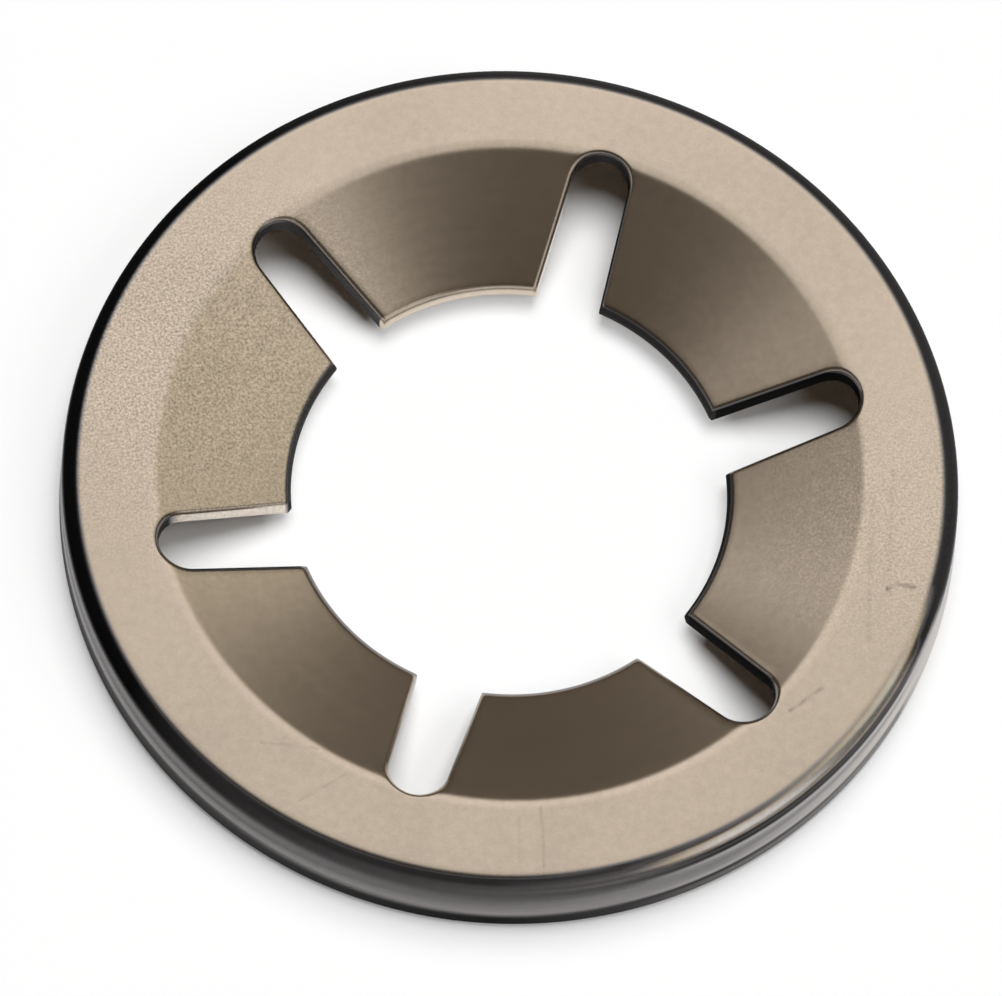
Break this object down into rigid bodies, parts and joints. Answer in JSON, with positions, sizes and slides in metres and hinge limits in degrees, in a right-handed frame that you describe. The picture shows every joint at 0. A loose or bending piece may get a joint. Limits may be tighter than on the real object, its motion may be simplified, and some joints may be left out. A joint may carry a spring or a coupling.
{
  "type": "push-on retaining washer",
  "caption": "Round sprung-steel push-on retaining washer: flat ring with a turned-down outer flange and sloping slotted prongs that grip a plain shaft.",
  "frame": {"origin": "on the washer's axis, at the level of the flange's foot on which it lies", "axes": "+Z along the washer's axis, from the flange's foot to the flat ring; +X along the middle of one slot"},
  "size_m": [0.0204, 0.0204, 0.0021],
  "materials": {
    "spring_steel": "satin, warm grey-tan, with fine rolled grain"
  },
  "bodies": {
    "root": {"retaining_washer": "spring_steel"}
  },
  "joints": []
}
